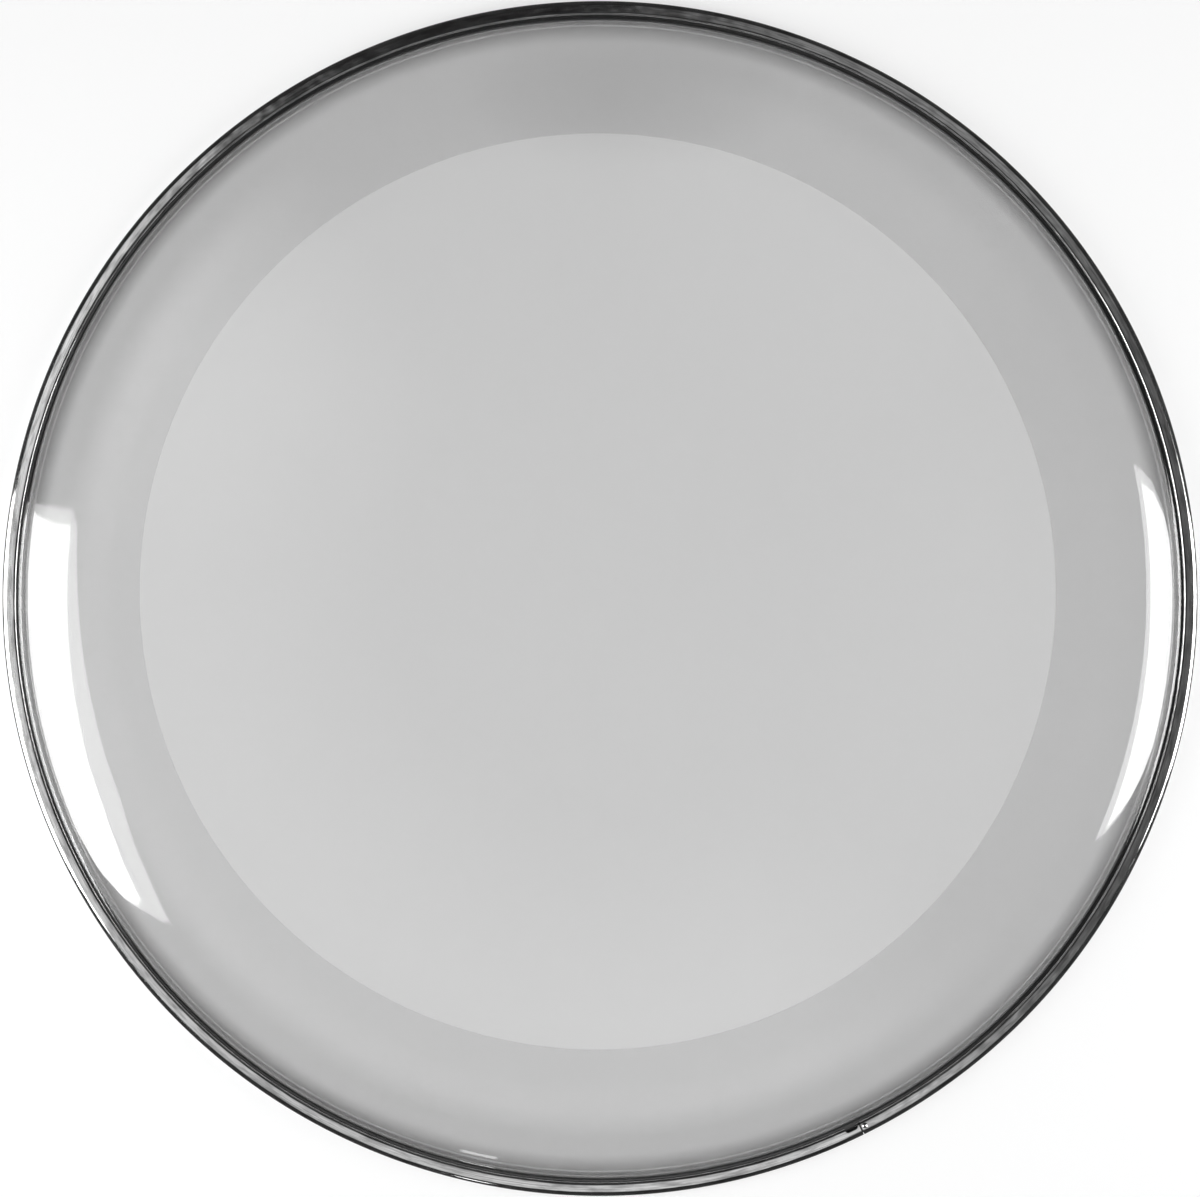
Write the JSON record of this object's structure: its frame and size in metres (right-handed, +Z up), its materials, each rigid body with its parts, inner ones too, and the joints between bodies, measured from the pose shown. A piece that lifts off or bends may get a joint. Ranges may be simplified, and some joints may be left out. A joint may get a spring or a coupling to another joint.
{
  "type": "drum head",
  "caption": "Round bass drum head: a clear formed film with a muffle ring under its edge, set in resin in a rolled aluminium hoop.",
  "frame": {"origin": "on the drum's axis, in the plane of the hoop's foot", "axes": "+Z up along the drum's axis, out of the playing face; +Y to the top of the picture, +X to its right"},
  "size_m": [0.5778, 0.5778, 0.0217],
  "materials": {
    "hoop_aluminium": "bright rolled aluminium with fine marks along the hoop",
    "splice_aluminium": "plain mill finish",
    "clear_film": "clear glossy polyester film with a grey cast",
    "ring_film": "clear polyester film with a grey cast",
    "cast_resin": "cast resin, matt"
  },
  "bodies": {
    "root": {"hoop_channel": "hoop_aluminium", "joint_splice": "splice_aluminium", "head_film": "clear_film", "muffle_ring": "ring_film", "resin_bead": "cast_resin"}
  },
  "joints": []
}
